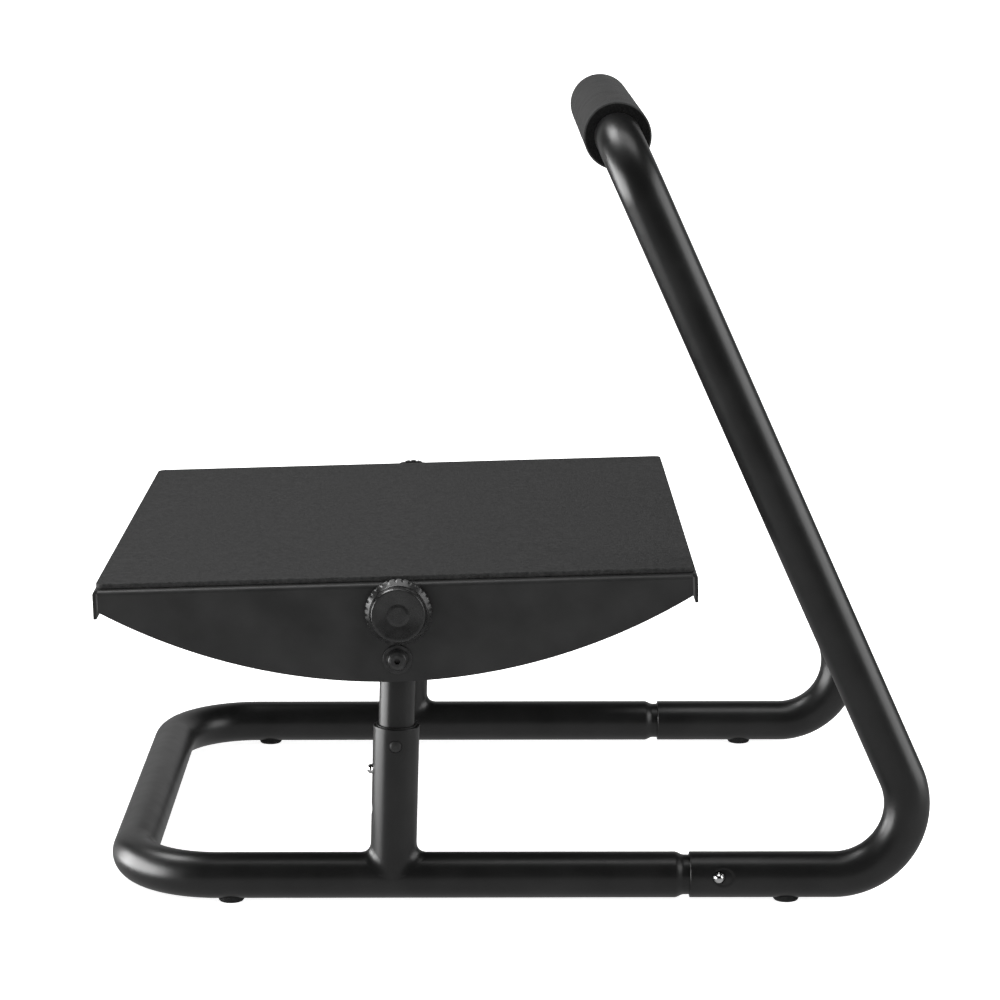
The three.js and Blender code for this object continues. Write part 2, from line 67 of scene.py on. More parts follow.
POST_R, POST_BORE = 11.0, 9.5
LINER_R, LINER_BORE = 12.4, 11.3
NUB_R, NUB_Z, BUTTON_Z, HEIGHT_STEP = 3.6, 102.1, 84.0, 25.4
CLAMP_RISE, TILT_LIMIT = 30.5, 21.5
REST_TILT, POST_LEAN = math.radians(1.6), math.radians(1.6)
SHEET, PAN_HALF, PAN_HALF_WIDTH, PAN_TOP = 2.0, 184.8, 202.5, 47.6
PAN_BEND, LIP_DEPTH, LIP_HALF_WIDTH, FLANGE_HALF = 3.2, 18.3, 198.8, 181.4
ARC_R, ARC_LOW = 363.0, -14.1
BOLT_R, BOLT_HOLE = 3.9, 4.25
MAT_HALF, MAT_HALF_WIDTH, MAT_CORNER, MAT_TOP = 183.1, 196.25, 5, 3.3
# Distances along Y from the middle: the flange's outer face and what stacks up on it
FACE_Y, PIVOT_WASHER_Y, CLAMP_WASHER_Y, KNOB_Y, KNOB_TOP_Y = 202.8, 203.8, 204.3, 204.6, 217.6

SIDE_Y = sum(c.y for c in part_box("post_left")) / 2 / MM
PIVOT = next(j["pos_m"] for j in frame["joints"] if j["name"] == "platform_tilt")
POST_X, PIVOT_Z = PIVOT[0] / MM, PIVOT[2] / MM
POST_BOTTOM, POST_TOP, SLEEVE_TOP, LINER_BOTTOM = 60.0, 198.0, 112.6, 92.6
TUBE_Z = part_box("base_tube")[0].z / MM + TUBE_R
FEET_X = {e: sum(c.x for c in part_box(f"foot_{e}_left")) / 2 / MM for e in ("front", "rear")}


# Meshes


def mesh_object(name, verts, faces):
    """A linked object from points in millimetres, with its faces turned outwards."""
    mesh = bpy.data.meshes.new(name)
    mesh.from_pydata([Vector(v) * MM for v in verts], [], faces)
    work = bmesh.new()
    work.from_mesh(mesh)
    bmesh.ops.recalc_face_normals(work, faces=work.faces)
    work.to_mesh(mesh)
    work.free()
    obj = bpy.data.objects.new(name, mesh)
    bpy.context.scene.collection.objects.link(obj)
    return obj


def applied(obj):
    """Turns the object's modifiers into its mesh."""
    bpy.context.view_layer.update()
    seen = obj.evaluated_get(bpy.context.evaluated_depsgraph_get())
    mesh = bpy.data.meshes.new_from_object(seen)
    obj.modifiers.clear()
    obj.data = mesh


def carve(obj, cutter, operation="DIFFERENCE"):
    """Cuts, joins or trims the object with another, which is used up."""
    boolean = obj.modifiers.new("boolean", "BOOLEAN")
    boolean.operation, boolean.solver, boolean.object = operation, "EXACT", cutter
    applied(obj)
    bpy.data.objects.remove(cutter)


def shade(obj, angle=32):
    """Smooth shading that stays sharp at hard edges and flat on large flat faces."""
    obj.data.polygons.foreach_set("use_smooth", [True] * len(obj.data.polygons))
    obj.data.set_sharp_from_angle(angle=math.radians(angle))
    weighted = obj.modifiers.new("normals", "WEIGHTED_NORMAL")
    weighted.keep_sharp = True
    applied(obj)


def soften(points, closed=False, steps=5):
    """Rounds the corners of an outline: each point is (x, y) or (x, y, radius)."""
    out, n = [], len(points)
    for i, p in enumerate(points):
        here, radius = Vector(p[:2]), p[2] if len(p) > 2 else 0
        if not radius or (not closed and i in (0, n - 1)):
            out.append(tuple(here))
            continue
        a = (Vector(points[i - 1][:2]) - here).normalized()
        b = (Vector(points[(i + 1) % n][:2]) - here).normalized()
        half = a.angle(b) / 2
        centre = here + (a + b).normalized() * (radius / math.sin(half))
        start = here + a * (radius / math.tan(half)) - centre
        end = here + b * (radius / math.tan(half)) - centre
        sweep = start.angle_signed(end)
        for k in range(steps + 1):
            turn = -sweep * k / steps
            c, s = math.cos(turn), math.sin(turn)
            x, y = start.x * c - start.y * s, start.x * s + start.y * c
            out.append((centre.x + x, centre.y + y))
    return out


def bridge(a, b):
    """Faces between two rings of vertex numbers; a ring of one is a point on the axis."""
    n = max(len(a), len(b))
    if len(a) == 1:
        return [(a[0], b[k], b[(k + 1) % n]) for k in range(n)]
    if len(b) == 1:
        return [(a[k], b[0], a[(k + 1) % n]) for k in range(n)]
    return [(a[k], b[k], b[(k + 1) % n], a[(k + 1) % n]) for k in range(n)]


def lathe(name, profile, origin, axis, segments=96, ripple=None):
    """A turned piece: profile is (radius, distance along the axis), closed if it clears the axis."""
    axis = Vector(axis).normalized()
    side = axis.cross(Vector((0.0, 0.0, 1.0)) if abs(axis.z) < 0.9 else Vector((1.0, 0.0, 0.0)))
    side.normalize()
    up = side.cross(axis)
    verts, rings, faces = [], [], []
    for r, h in profile:
        centre = Vector(origin) + axis * h
        if r < 1e-6:
            rings.append([len(verts)])
            verts.append(centre)
            continue
        rings.append(list(range(len(verts), len(verts) + segments)))
        for k in range(segments):
            angle = 2 * math.pi * k / segments
            reach = ripple(angle, r, h) if ripple else r
            verts.append(centre + (side * math.cos(angle) + up * math.sin(angle)) * reach)
    loop = rings + [rings[0]] if len(rings[0]) > 1 and len(rings[-1]) > 1 else rings
    for a, b in zip(loop, loop[1:]):
        faces += bridge(a, b)
    return mesh_object(name, verts, faces)


def drum(radius, start, end, segments=64):
    """A plain round cutter between two points."""
    run = Vector(end) - Vector(start)
    profile = [(0, 0), (radius, 0), (radius, run.length), (0, run.length)]
    return lathe("cutter", profile, start, run, segments)


def push(name, outline, to_point, near, far):
    """A flat outline pushed from one depth to another; to_point places (u, v, depth)."""
    n = len(outline)
    verts = [to_point(u, v, d) for d in (near, far) for u, v in outline]
    faces = [tuple(range(n)), tuple(range(2 * n - 1, n - 1, -1))]
    faces += bridge(list(range(n)), list(range(n, 2 * n)))
    return mesh_object(name, verts, faces)


def bent_path(corners, radii, degrees=2.0):
    """Stations (point, tangent) of straight runs joined by round bends."""
    at = [Vector(c) for c in corners]
    out = [(at[0], (at[1] - at[0]).normalized())]
    for i, radius in enumerate(radii, 1):
        before, after = (at[i] - at[i - 1]).normalized(), (at[i + 1] - at[i]).normalized()
        turn = before.angle(after)
        inward = before.cross(after).normalized().cross(before)
        start = at[i] - before * radius * math.tan(turn / 2)
        steps = max(8, round(math.degrees(turn) / degrees))
        for k in range(steps + 1):
            a = turn * k / steps
            point = start + before * radius * math.sin(a) + inward * radius * (1 - math.cos(a))
            out.append((point, before * math.cos(a) + inward * math.sin(a)))
    out.append((at[-1], (at[-1] - at[-2]).normalized()))
    return out


def with_stops(stations, stops):
    """Adds stations at given X on the straight runs along X."""
    out = [stations[0]]
    for (p, t), (q, u) in zip(stations, stations[1:]):
        if abs(t.x) > 0.9999 and abs(u.x) > 0.9999:
            shares = sorted((x - p.x) / (q.x - p.x) for x in stops)
            out += [(p.lerp(q, s), t) for s in shares if 1e-4 < s < 1 - 1e-4]
        out.append((q, u))
    return out


def tube(name, stations, outer, inner, sides=96, dent=None):
    """A hollow tube along stations; outer and inner give its radii at a point."""
    frames, across = [], Vector((0.0, 0.0, 1.0))
    for point, tangent in stations:
        across = (across - tangent * across.dot(tangent)).normalized()
        frames.append((point, across, tangent.cross(across)))
    verts, rings, faces = [], [], []
    order = [(f, outer) for f in frames] + [(f, inner) for f in reversed(frames)]
    for (point, u, v), radius in order:
        rings.append(list(range(len(verts), len(verts) + sides)))
        r = radius(point)
        for k in range(sides):
            a = 2 * math.pi * k / sides
            spot = point + (u * math.cos(a) + v * math.sin(a)) * r
            verts.append(dent(spot) if dent and radius is outer else spot)
    for a, b in zip(rings, rings[1:] + [rings[0]]):
        faces += bridge(a, b)
    return mesh_object(name, verts, faces)


def ease(t):
    """A smooth step from 0 to 1."""
    t = min(max(t, 0.0), 1.0)
    return t * t * (3 - 2 * t)


# Materials


class Paint:
    """A material whose colour, roughness and relief come from procedural nodes in object space."""

    def __init__(self, name, metallic=0.0, **constants):
        self.material = bpy.data.materials.new(name)
        self.material.use_nodes = True
        self.tree = self.material.node_tree
        self.shader = self.tree.nodes["Principled BSDF"]
        self.shader.inputs["Metallic"].default_value = metallic
        for socket, value in constants.items():
            self.shader.inputs[socket.replace("_", " ")].default_value = value
        self.coordinates = self.node("ShaderNodeTexCoord").outputs["Object"]
        self.normal = None

    def node(self, kind, **settings):
        made = self.tree.nodes.new(kind)
        for key, value in settings.items():
            setattr(made, key, value)
        return made

    def noise(self, scale, detail=3.0, roughness=0.5, stretch=None):
        made = self.node("ShaderNodeTexNoise")
        made.inputs["Scale"].default_value = scale
        made.inputs["Detail"].default_value = detail
        made.inputs["Roughness"].default_value = roughness
        source = self.coordinates
        if stretch:
            mapping = self.node("ShaderNodeMapping")
            mapping.inputs["Scale"].default_value = stretch
            self.tree.links.new(source, mapping.inputs["Vector"])
            source = mapping.outputs["Vector"]
        self.tree.links.new(source, made.inputs["Vector"])
        return made.outputs["Fac"]

    def cells(self, scale):
        made = self.node("ShaderNodeTexVoronoi", feature="F1")
        made.inputs["Scale"].default_value = scale
        self.tree.links.new(self.coordinates, made.inputs["Vector"])
        return made.outputs["Distance"]

    def colour(self, source, dark, light):
        ramp = self.node("ShaderNodeValToRGB")
        for element, position, value in zip(ramp.color_ramp.elements, (0.35, 0.65), (dark, light)):
            element.position = position
            element.color = (*value, 1.0)
        self.tree.links.new(source, ramp.inputs["Fac"])
        self.tree.links.new(ramp.outputs["Color"], self.shader.inputs["Base Color"])

    def gloss(self, source, low, high):
        made = self.node("ShaderNodeMapRange")
        limits = {"From Min": 0.3, "From Max": 0.7, "To Min": low, "To Max": high}
        for socket, value in limits.items():
            made.inputs[socket].default_value = value
        self.tree.links.new(source, made.inputs["Value"])
        self.tree.links.new(made.outputs["Result"], self.shader.inputs["Roughness"])

    def relief(self, source, strength, depth):
        bump = self.node("ShaderNodeBump")
        bump.inputs["Strength"].default_value = strength
        bump.inputs["Distance"].default_value = depth * MM
        self.tree.links.new(source, bump.inputs["Height"])
        if self.normal:
            self.tree.links.new(self.normal, bump.inputs["Normal"])
        self.normal = bump.outputs["Normal"]
        self.tree.links.new(self.normal, self.shader.inputs["Normal"])
        return self


ROLLED = (0.1, 1, 1)  # stretches a texture along the strip's rolling direction


def grey(value, warm=0.0):
    return (value * (1 + warm), value, value * (1 - warm))


def make_finishes():
    """One material for each of the record's slots, and one for the foam's cut ends."""
    made = {}
    p = Paint("satin_powder_coat")
    p.colour(p.noise(38, 5), grey(0.0038), grey(0.0060))
    p.gloss(p.noise(90, 2), 0.33, 0.37)
    p.relief(p.noise(700, 2), 0.03, 0.03).relief(p.noise(2600, 2), 0.02, 0.02)
    made["frame_paint"] = p

    p = Paint("fine_powder_coat", Specular_IOR_Level=0.45)
    p.colour(p.noise(30, 5), grey(0.008), grey(0.013))
    p.gloss(p.noise(160, 4), 0.42, 0.54)
    p.relief(p.noise(900, 3), 0.2, 0.05).relief(p.noise(3400, 2), 0.15, 0.02)
    made["platform_paint"] = p

    p = Paint("pebbled_rubber", Specular_IOR_Level=0.22)
    p.colour(p.noise(420, 6, 0.7), grey(0.012), grey(0.028))
    p.gloss(p.noise(90, 3), 0.66, 0.82)
    p.relief(p.cells(780), 0.45, 0.25).relief(p.noise(1900, 4, 0.7), 0.4, 0.15)
    made["platform_mat"] = p

    p = Paint("skinned_foam", Specular_IOR_Level=0.18, Sheen_Weight=0.03, Sheen_Roughness=0.5)
    p.colour(p.noise(1100, 6, 0.75), grey(0.008), grey(0.030))
    p.gloss(p.noise(60, 3), 0.82, 0.96)
    p.relief(p.cells(950), 0.55, 0.3).relief(p.noise(2300, 4, 0.8), 0.5, 0.2)
    made["grip_foam"] = p

    p = Paint("cut_foam", Specular_IOR_Level=0.1)
    p.colour(p.noise(1300, 5, 0.7), grey(0.002), grey(0.007))
    p.gloss(p.noise(60, 3), 0.9, 0.98)
    p.relief(p.cells(1200), 0.8, 0.4)
    made["grip_foam_end"] = p

    p = Paint("foot_rubber", Specular_IOR_Level=0.25)
    p.colour(p.noise(300, 5), grey(0.006), grey(0.012))
    p.gloss(p.noise(120, 3), 0.62, 0.78)
    p.relief(p.noise(1500, 4, 0.7), 0.3, 0.1)
    made["rubber_foot"] = p

    p = Paint("moulded_knob", Specular_IOR_Level=0.6)
    p.colour(p.noise(120, 4), grey(0.007), grey(0.011))
    p.gloss(p.noise(300, 4), 0.24, 0.32)
    p.relief(p.noise(2400, 3), 0.06, 0.02)
    made["knob_plastic"] = p

    p = Paint("moulded_nylon")
    p.colour(p.noise(150, 4), grey(0.007), grey(0.011))
    p.gloss(p.noise(260, 4), 0.42, 0.55)
    p.relief(p.noise(2000, 3), 0.2, 0.05)
    made["black_plastic"] = p

    p = Paint("black_oxide", metallic=0.7)
    p.colour(p.noise(240, 5), grey(0.030), grey(0.050))
    p.gloss(p.noise(500, 4), 0.3, 0.42)
    p.relief(p.noise(2800, 3), 0.15, 0.03)
    made["black_hardware"] = p

    p = Paint("zinc_plate", metallic=1.0)
    p.colour(p.noise(180, 5), grey(0.42), grey(0.56, 0.02))
    p.gloss(p.noise(420, 5), 0.26, 0.4)
    p.relief(p.noise(2600, 3), 0.15, 0.03)
    made["zinc_hardware"] = p

    p = Paint("rolled_spring_strip", metallic=1.0)
    p.colour(p.noise(900, 4, 0.6, ROLLED), grey(0.28), grey(0.42))
    p.gloss(p.noise(700, 4, 0.6, ROLLED), 0.25, 0.38)
    p.relief(p.noise(1600, 3, 0.6, ROLLED), 0.1, 0.03)
    made["spring_steel"] = p

    p = Paint("bright_plate", metallic=1.0)
    p.colour(p.noise(300, 4), grey(0.66), grey(0.78))
    p.gloss(p.noise(900, 4), 0.09, 0.17)
    p.relief(p.noise(2600, 2), 0.04, 0.02)
    made["chrome"] = p
    return {slot: paint.material for slot, paint in made.items()}


FINISH = make_finishes()


def leant(obj):
    """Leans a piece of a post, drawn upright, about the platform's pivot."""
    pivot = Vector((POST_X, 0, PIVOT_Z)) * MM
    turn = Matrix.Rotation(POST_LEAN, 4, "Y")
    obj.data.transform(Matrix.Translation(pivot) @ turn @ Matrix.Translation(-pivot))
    return obj


def lifted(obj, side):
    """Turns a piece of the frame's snap about its side tube's axis."""
    axis = Vector((0, side * SIDE_Y, TUBE_Z)) * MM
    turn = Matrix.Rotation(side * SNAP_LIFT, 4, "X")
    obj.data.transform(Matrix.Translation(axis) @ turn @ Matrix.Translation(-axis))
    return obj


def place(obj, body, slot, *nodes, angle=32):
    """Shades a piece, gives it the slot's finish, and lets it ride and stand for its CAD nodes."""
    shade(obj, angle)
    obj.data.materials.clear()
    obj.data.materials.append(FINISH[slot])
    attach(obj, body)
    if nodes:
        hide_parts(*nodes)


# Frame


def neck(x):
    """How far the base tube is swaged down at X, from 0 to 1."""
    return ease((x - SWAGE_START) / (SWAGE_END - SWAGE_START))


def make_base_tube():
    def outer(p):
        edge = 0.35 if p.x > NECK_END - 0.01 else 0
        return TUBE_R - (TUBE_R - NECK_R) * neck(p.x) - edge

    def inner(p):
        return TUBE_R - WALL - (TUBE_R - NECK_R) * neck(p.x + 0.8)

    corners = [
        (NECK_END, -SIDE_Y, TUBE_Z),
        (FRONT_X, -SIDE_Y, TUBE_Z),
        (FRONT_X, SIDE_Y, TUBE_Z),
        (NECK_END, SIDE_Y, TUBE_Z),
    ]
    stops = [98 + 0.4 * k for k in range(22)] + [NECK_END - 0.35]
    path = with_stops(bent_path(corners, [FRONT_BEND] * 2), stops)
    obj = tube("base_tube_skin", path, outer, inner)
    for side in (-1, 1):
        y = side * SIDE_Y
        hole = drum(INNER_HOLE, (BUTTON_X, y, TUBE_Z), (BUTTON_X, y + side * 20, TUBE_Z))
        carve(obj, lifted(hole, side))
        carve(obj, drum(STEM_HOLE, (FEET_X["front"], y, -1), (FEET_X["front"], y, TUBE_Z), 32))
    place(obj, "frame", "frame_paint", "base_tube")


def make_handle_tube():
    def outer(p):
        return TUBE_R - (0.35 if p.x < SOCKET_X + 0.01 and p.z < TUBE_Z + 1 else 0)

    def inner(p):
        return TUBE_R - WALL

    def dent(p):
        if abs(p.x - DIMPLE_X) > 12 or abs(p.y) < SIDE_Y + 4 or p.z > TUBE_Z + TUBE_R:
            return p
        around = math.atan2(p.z - TUBE_Z, abs(p.y) - SIDE_Y) - SNAP_LIFT
        off = math.hypot((p.x - DIMPLE_X) / DIMPLE_HALF_X, around * TUBE_R / DIMPLE_HALF_Z)
        depth = DIMPLE_DEPTH * ease((1.12 - off) / 0.42)
        return Vector((p.x, p.y - math.copysign(depth, p.y), p.z))

    corners = [
        (SOCKET_X, -SIDE_Y, TUBE_Z),
        (HEEL_X, -SIDE_Y, TUBE_Z),
        (BAR_X, -SIDE_Y, BAR_Z),
        (BAR_X, SIDE_Y, BAR_Z),
        (HEEL_X, SIDE_Y, TUBE_Z),
        (SOCKET_X, SIDE_Y, TUBE_Z),
    ]
    stops = [SOCKET_X + 0.35] + [119 + 0.55 * k for k in range(41)]
    path = with_stops(bent_path(corners, [HEEL_BEND, TOP_BEND, TOP_BEND, HEEL_BEND]), stops)
    obj = tube("handle_tube_skin", path, outer, inner, 128, dent)
    for side in (-1, 1):
        y = side * SIDE_Y
        hole = drum(BUTTON_HOLE, (HOLE_X, y, TUBE_Z), (HOLE_X, y + side * 20, TUBE_Z))
        carve(obj, lifted(hole, side))
        carve(obj, drum(STEM_HOLE, (FEET_X["rear"], y, -1), (FEET_X["rear"], y, TUBE_Z), 32))
    place(obj, "frame", "frame_paint", "handle_tube")


def make_grip():
    profile = soften(
        [
            (GRIP_BORE, -GRIP_HALF, 0.4),
            (GRIP_R, -GRIP_HALF, 1.5),
            (GRIP_R, GRIP_HALF, 1.5),
            (GRIP_BORE, GRIP_HALF, 0.4),
        ],
        closed=True,
    )
    rows = []
    for (r, h), (s, g) in zip(profile, profile[1:] + profile[:1]):
        steps = 60 if abs(g - h) > 100 and r > 18 else 1
        rows += [(r + (s - r) * k / steps, h + (g - h) * k / steps) for k in range(steps)]

    def ripple(angle, r, h):
        if r < 20:
            return r
        wave = math.sin(h * 0.11 + 2 * angle) + math.sin(h * 0.047 - 3 * angle + 1.3)
        return r - 0.06 + 0.03 * wave

    obj = lathe("grip_foam_sleeve", rows, (BAR_X, 0, BAR_Z), (0, 1, 0), 128, ripple)
    place(obj, "frame", "grip_foam", "grip_foam")
    obj.data.materials.append(FINISH["grip_foam_end"])
    for face in obj.data.polygons:
        if abs(face.normal.y) > 0.9:
            face.material_index = 1


def make_foot(hand, side, end):
    x, y = FEET_X[end], side * SIDE_Y
    profile = [(0, 0.5), (5.4, 0.5, 0.2), (5.7, 0, 0.2), (7.3, 0, 0.2)]
    profile += [(8, 0.9, 0.5), (8, 4.2, 0.4), (0, 4.2)]
    obj = lathe(f"foot_{end}_{hand}_skin", soften(profile), (x, y, 0), UP, 64)
    carve(obj, drum(TUBE_R + 0.1, (x - 20, y, TUBE_Z), (x + 20, y, TUBE_Z), 96))
    stem = [(0, 1), (2.7, 1), (2.7, 4), (3.8, 4.6), (2.2, 8), (0, 8)]
    carve(obj, lathe("stem", stem, (x, y, 0), UP, 32), "UNION")
    place(obj, "frame", "rubber_foot", f"foot_{end}_{hand}")


def strip_outline(line):
    """The outline of a thin bent strip about its centre line."""
    at, one, other = [Vector(p) for p in line], [], []
    for i, p in enumerate(at):
        run = (at[min(i + 1, len(at) - 1)] - at[max(i - 1, 0)]).normalized()
        off = Vector((-run.y, run.x)) * STRIP / 2
        one.append(tuple(p + off))
        other.append(tuple(p - off))
    return one + other[::-1]


def button_profile(root):
    """A domed pin with a low collar at its foot, where it was upset in forming."""
    return soften(
        [
            (0, root),
            (BUTTON_R, root),
            (BUTTON_R, BUTTON_COLLAR - 0.9, 0.1),
            (BUTTON_R - 0.35, BUTTON_COLLAR - 0.5, 0.1),
            (BUTTON_R - 0.35, BUTTON_TIP - 1.5, 1.2),
            (1.5, BUTTON_TIP - 0.12, 1.2),
            (0, BUTTON_TIP),
        ],
        steps=6,
    )


def make_frame_snap(hand, side):
    line = [(134, 9.6), (120, 9.4), (97, 3.2), (93.6, 1.4), (92.6, 0)]
    line += [(x, -y) for x, y in line[-2::-1]]

    def at(u, v, d):
        return (u, side * SIDE_Y + v, TUBE_Z + d)

    outline = strip_outline(line)
    clip = push(f"frame_clip_{hand}_skin", outline, at, -STRIP_HALF_WIDTH, STRIP_HALF_WIDTH)
    place(lifted(clip, side), "frame", "spring_steel", f"frame_clip_{hand}")
    spot = (BUTTON_X, side * SIDE_Y, TUBE_Z)
    button = lathe(f"frame_button_{hand}_skin", button_profile(10.3), spot, (0, side, 0), 64)
    place(lifted(button, side), f"frame_button_{hand}", "chrome", f"frame_button_{hand}")


# Posts


def tube_top(r, angle):
    """Height of the side tube's surface in a post's upright frame, at an offset from its axis."""
    axis = PIVOT_Z + (TUBE_Z - PIVOT_Z) / math.cos(POST_LEAN)
    axis += r * math.cos(angle) * math.tan(POST_LEAN)
    return axis + math.sqrt(max(TUBE_R**2 - (r * math.sin(angle)) ** 2, 0)) / math.cos(POST_LEAN)


def make_sleeve(hand, side):
    y, sides = side * SIDE_Y, 128
    bore = TUBE_R - WALL
    rows = [(TUBE_R, None), (TUBE_R, SLEEVE_TOP - 0.4), (TUBE_R - 0.12, SLEEVE_TOP - 0.12)]
    rows += [(TUBE_R - 0.4, SLEEVE_TOP), (bore + 0.25, SLEEVE_TOP)]
    rows += [(bore, SLEEVE_TOP - 0.25), (bore, None)]  # None follows the side tube
    verts, rings, faces = [], [], []
    for r, z in rows:
        rings.append(list(range(len(verts), len(verts) + sides)))
        for k in range(sides):
            a = 2 * math.pi * k / sides
            height = tube_top(r, a) + 0.05 if z is None else z
            verts.append((POST_X + r * math.cos(a), y + r * math.sin(a), height))
    for a, b in zip(rings, rings[1:] + [rings[0]]):
        faces += bridge(a, b)
    obj = mesh_object(f"sleeve_{hand}_skin", verts, faces)
    for z in (BUTTON_Z, BUTTON_Z - HEIGHT_STEP):
        carve(obj, drum(BUTTON_HOLE, (POST_X, y, z), (POST_X - 20, y, z)))
    carve(obj, drum(NUB_R + 0.3, (POST_X, y, NUB_Z), (POST_X, y + side * 20, NUB_Z)))
    place(leant(obj), "frame", "frame_paint", f"sleeve_{hand}")
    make_weld(hand, side)


def make_weld(hand, side):
    """A concave fillet round the sleeve's foot, widest fore and aft and fading to the sides."""
    sides, steps, verts, rings, faces = 160, 8, [], [], []
    for k in range(sides):
        a = 2 * math.pi * k / sides
        c, s = math.cos(a), math.sin(a)
        leg = 2.0 + 4.6 * abs(c) ** 0.6
        ripple = 0.08 * math.sin(23 * a) + 0.06 * math.sin(41 * a + 1)
        corner = Vector((POST_X + TUBE_R * c, side * SIDE_Y + TUBE_R * s, tube_top(TUBE_R, a)))
        upper = corner + Vector((0, 0, leg + ripple))
        reach = math.copysign(leg * min(1, abs(c) * 4) + ripple * abs(c), c)
        lower = corner + Vector((reach, 0, reach * math.tan(POST_LEAN)))
        buried = Vector((-c, -s, 0))
        row = [upper + buried * 0.5]
        for i in range(steps + 1):
            t = i / steps
            pull = corner.lerp((upper + lower) / 2, 0.12)
            row.append(upper * (1 - t) ** 2 + pull * 2 * t * (1 - t) + lower * t**2)
        row.append(lower + Vector((0, -0.5 * s, -0.5)))
        row.append(corner + buried + Vector((0, 0, -0.9)))
        rings.append(list(range(len(verts), len(verts) + len(row))))
        verts += row
    for a, b in zip(rings, rings[1:] + [rings[0]]):
        faces += bridge(a, b)
    obj = mesh_object(f"sleeve_weld_{hand}", verts, faces)
    place(leant(obj), "frame", "frame_paint", angle=60)


def make_liner(hand, side):
    y = side * SIDE_Y
    top = SLEEVE_TOP + 0.6
    wall = soften(
        [(LINER_BORE, LINER_BOTTOM), (LINER_R, LINER_BOTTOM), (LINER_R, top, 0.4), (LINER_BORE, top, 0.4)],
        closed=True,
    )
    obj = lathe(f"liner_{hand}_skin", wall, (POST_X, y, 0), UP, 128)
    nub = [(0, 11.9), (NUB_R, 11.9), (NUB_R, 14.3, 0.3), (2.4, 14.9, 0.8), (1.2, 15.15, 0.5), (0, 15.15)]
    carve(obj, lathe("nub", soften(nub), (POST_X, y, NUB_Z), (0, side, 0), 64), "UNION")
    place(leant(obj), "frame", "black_plastic", f"liner_{hand}")


def make_post(hand, side):
    y = side * SIDE_Y
    profile = soften(
        [
            (POST_BORE, POST_BOTTOM, 0.3),
            (POST_R, POST_BOTTOM, 0.4),
            (POST_R, POST_TOP, 0.4),
            (POST_BORE, POST_TOP, 0.3),
        ],
        closed=True,
    )
    obj = lathe(f"post_{hand}_skin", profile, (POST_X, y, 0), UP, 128)
    carve(obj, drum(INNER_HOLE, (POST_X, y, BUTTON_Z), (POST_X - 20, y, BUTTON_Z)))
    carve(obj, drum(BOLT_HOLE, (POST_X, y - 20, PIVOT_Z), (POST_X, y + 20, PIVOT_Z)))
    z = PIVOT_Z + CLAMP_RISE
    carve(obj, drum(5.7, (POST_X, y, z), (POST_X, y + side * 20, z)))
    place(leant(obj), "posts", "frame_paint", f"post_{hand}")

    cap = [(0, -2), (9.2, -2, 0.3), (9.2, 0.3), (10.8, 0.3), (10.8, 1.8, 0.9), (0, 1.8)]
    obj = lathe(f"post_cap_{hand}_skin", soften(cap), (POST_X, y, POST_TOP), UP)
    place(leant(obj), "posts", "black_plastic", f"post_cap_{hand}")

    line = [(-8.1, 76), (-7.8, 91), (-3, 112), (-1.4, 115.2), (0, 116.2)]
    line += [(-x, h) for x, h in line[-2::-1]]

    def at(u, v, d):
        return (POST_X + u, y + d, v)

    outline = strip_outline(line)
    obj = push(f"post_snap_{hand}_skin", outline, at, -STRIP_HALF_WIDTH, STRIP_HALF_WIDTH)
    button = lathe("button", button_profile(7.7), (POST_X, y, BUTTON_Z), (-1, 0, 0), 64)
    carve(obj, button, "UNION")
    place(leant(obj), "posts", "chrome", f"post_snap_{hand}")


def make_saddle(name, hand, side, z):
    y = side * SIDE_Y
    points = [(BOLT_HOLE, 195), (8.5, 195), (8.5, 200.2, 0.5), (BOLT_HOLE, 200.2)]
    profile = soften(points, closed=True)
    obj = lathe(f"{name}_{hand}_skin", profile, (POST_X, 0, z), (0, side, 0), 64)
    carve(obj, drum(POST_R + 0.2, (POST_X, y, z - 20), (POST_X, y, z + 20), 96))
    place(leant(obj), "posts", "black_plastic", f"{name}_{hand}")


def hexagon(radius):
    return [(radius * math.cos(math.pi * k / 3), radius * math.sin(math.pi * k / 3)) for k in range(6)]


def washer(radius, top, under, over):
    """The outline of a round washer on the flange's face, with its edges rounded by under and over."""
    points = [(BOLT_HOLE, FACE_Y), (radius, FACE_Y, under), (radius, top, over), (BOLT_HOLE, top)]
    return soften(points, closed=True)


def make_pivot(hand, side):
    centre, out = (POST_X, 0, PIVOT_Z), (0, side, 0)
    head = soften(
        [(0, 168.5), (3.5, 168.5, 0.2), (BOLT_R, 169.1, 0.2), (BOLT_R, 204.1), (6.3, 204.1, 0.2)]
        + [(6.75, 204.5, 0.3), (6.75, 205.2, 0.5), (5.4, 208.0, 1.6), (3.6, 208.8, 0.6), (0, 208.8)],
        steps=6,
    )
    obj = lathe(f"pivot_bolt_{hand}_skin", head, centre, out)

    def at(u, v, d):
        return (POST_X + u, side * d, PIVOT_Z + v)

    carve(obj, push("socket", hexagon(2.0), at, 206, 210))
    place(leant(obj), "posts", "black_hardware", f"pivot_bolt_{hand}")

    obj = lathe(f"pivot_washer_{hand}_skin", washer(9, PIVOT_WASHER_Y, 0.2, 0.3), centre, out)
    place(leant(obj), "posts", "black_hardware", f"pivot_washer_{hand}")

    obj = push(f"pivot_nut_{hand}_skin", hexagon(7.4), at, 170.7, 177.2)
    rounding = [(0, 170.6), (6.2, 170.6), (7.5, 171.5), (7.5, 176.4), (6.2, 177.3), (0, 177.3)]
    carve(obj, lathe("rounding", rounding, centre, out, 64), "INTERSECT")
    carve(obj, drum(BOLT_HOLE, (POST_X, side * 165, PIVOT_Z), (POST_X, side * 180, PIVOT_Z)))
    place(leant(obj), "posts", "zinc_hardware", f"pivot_nut_{hand}")


